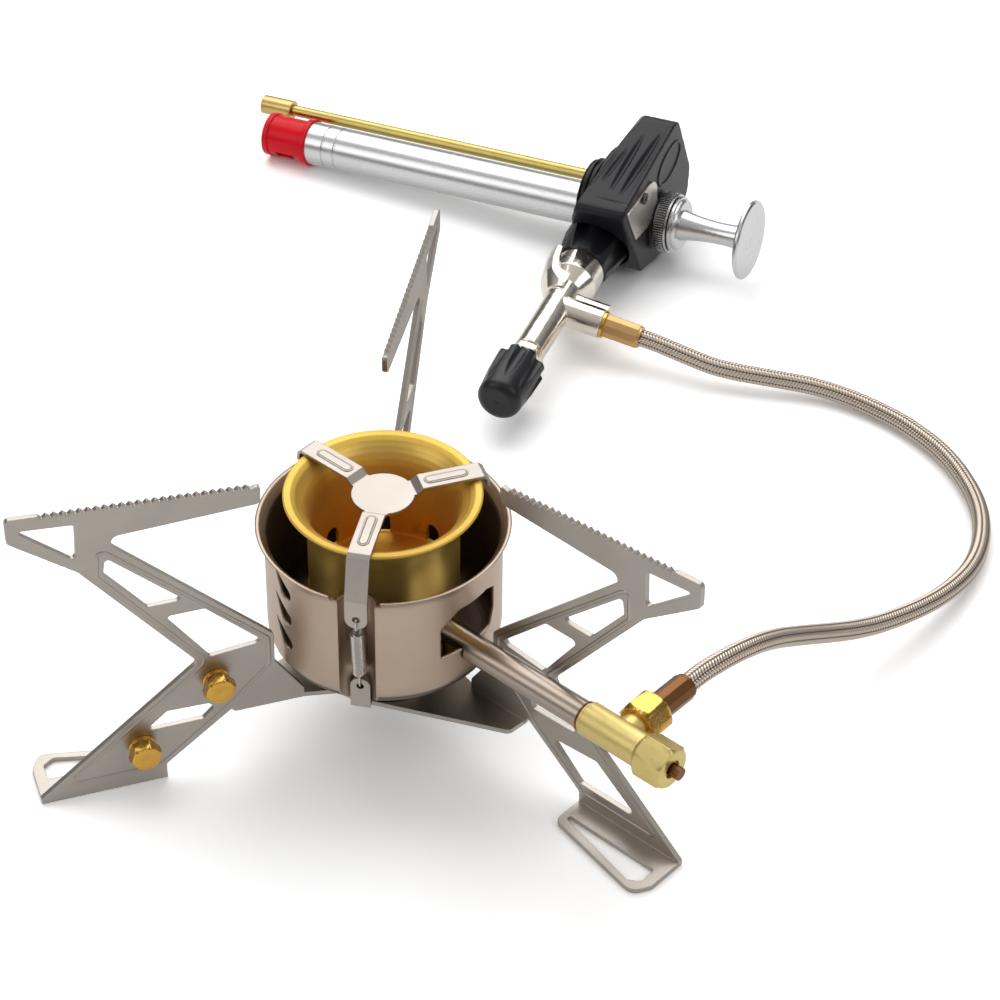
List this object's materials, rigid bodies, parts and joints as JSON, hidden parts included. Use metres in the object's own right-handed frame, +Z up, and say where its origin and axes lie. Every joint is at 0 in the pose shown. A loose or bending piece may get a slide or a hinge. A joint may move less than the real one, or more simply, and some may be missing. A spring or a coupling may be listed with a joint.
{
  "type": "camping stove",
  "caption": "Folding camping stove with a cupped burner on fold-out legs, braided fuel hose, control valve and bottle pump.",
  "frame": {"origin": "on the floor, under the middle of the whole outline with the hose left out", "axes": "+X along the fuel tube towards the tee, +Z up along the burner's axis, which stands at (57.88, -67) mm"},
  "size_m": [0.2982, 0.2956, 0.0879],
  "materials": {
    "steel": "satin",
    "bright_steel": "satin",
    "brass": "polished",
    "bronze": "satin",
    "nickel": "polished",
    "aluminium": "satin",
    "black_plastic": "satin",
    "red_plastic": "gloss",
    "rubber": "matte",
    "pad": "matte",
    "leather": "matte",
    "braid": "satin"
  },
  "bodies": {
    "stove": {"cup": "steel", "base_plate": "steel", "pivot_spacer": "steel", "fuel_pipe": "steel", "fixed_leg": "steel", "clip_screw": "steel", "pivot_rivet": "bright_steel", "flame_spreader": "bright_steel", "strap_spring": "bright_steel", "fuel_sleeve": "bright_steel", "check_ball": "bright_steel", "clip_plate": "bright_steel", "burner_bell": "brass", "jet_block": "brass", "burner_jet": "brass", "tee_body": "brass", "tee_end_nut": "brass", "branch_nut": "brass", "branch_ring": "brass", "dip_rod": "brass", "tee_pin": "bronze", "stove_ferrule": "bronze", "valve_ferrule": "bronze", "rod_filter": "bronze", "valve_body": "nickel", "gland_nut": "nickel", "pump_tube": "aluminium", "knurled_nut": "aluminium", "pump_head": "black_plastic", "bottle_thread": "black_plastic", "check_valve": "red_plastic", "thread_gasket": "rubber", "coupling_seal": "rubber", "priming_pad": "pad", "fuel_hose": "braid"},
    "left_leg": {"left_leg": "steel", "spare_jets": "brass"},
    "back_leg": {"back_leg": "steel"},
    "plunger": {"plunger_handle": "aluminium", "plunger_rod": "bright_steel", "piston_cup": "leather"},
    "knob": {"control_knob": "black_plastic", "valve_spindle": "bright_steel", "spindle_seal": "rubber"},
    "collar": {"coupling_collar": "black_plastic"}
  },
  "joints": [
    {"name": "left_leg_fold", "type": "hinge", "parent": "stove", "child": "left_leg", "pos_m": [0.05788, -0.067, 0.017], "axis": [0, 0, 1], "range_deg": [0, 94]},
    {"name": "back_leg_fold", "type": "hinge", "parent": "stove", "child": "back_leg", "pos_m": [0.05788, -0.067, 0.019], "axis": [0, 0, 1], "range_deg": [-82, 0]},
    {"name": "plunger_slide", "type": "slide", "parent": "stove", "child": "plunger", "axis": [0.9568, 0.286, 0.0516], "range_m": [0, 0.07]},
    {"name": "knob_turn", "type": "hinge", "parent": "stove", "child": "knob", "pos_m": [0.00383, 0.03956, 0.0124], "axis": [0.3543, -0.9351, 0], "range_deg": [0, 900]},
    {"name": "collar_turn", "type": "hinge", "parent": "stove", "child": "collar", "pos_m": [-0.02026, 0.10315, 0.0124], "axis": [0.3543, -0.9351, 0], "range_deg": [0, 720]}
  ]
}
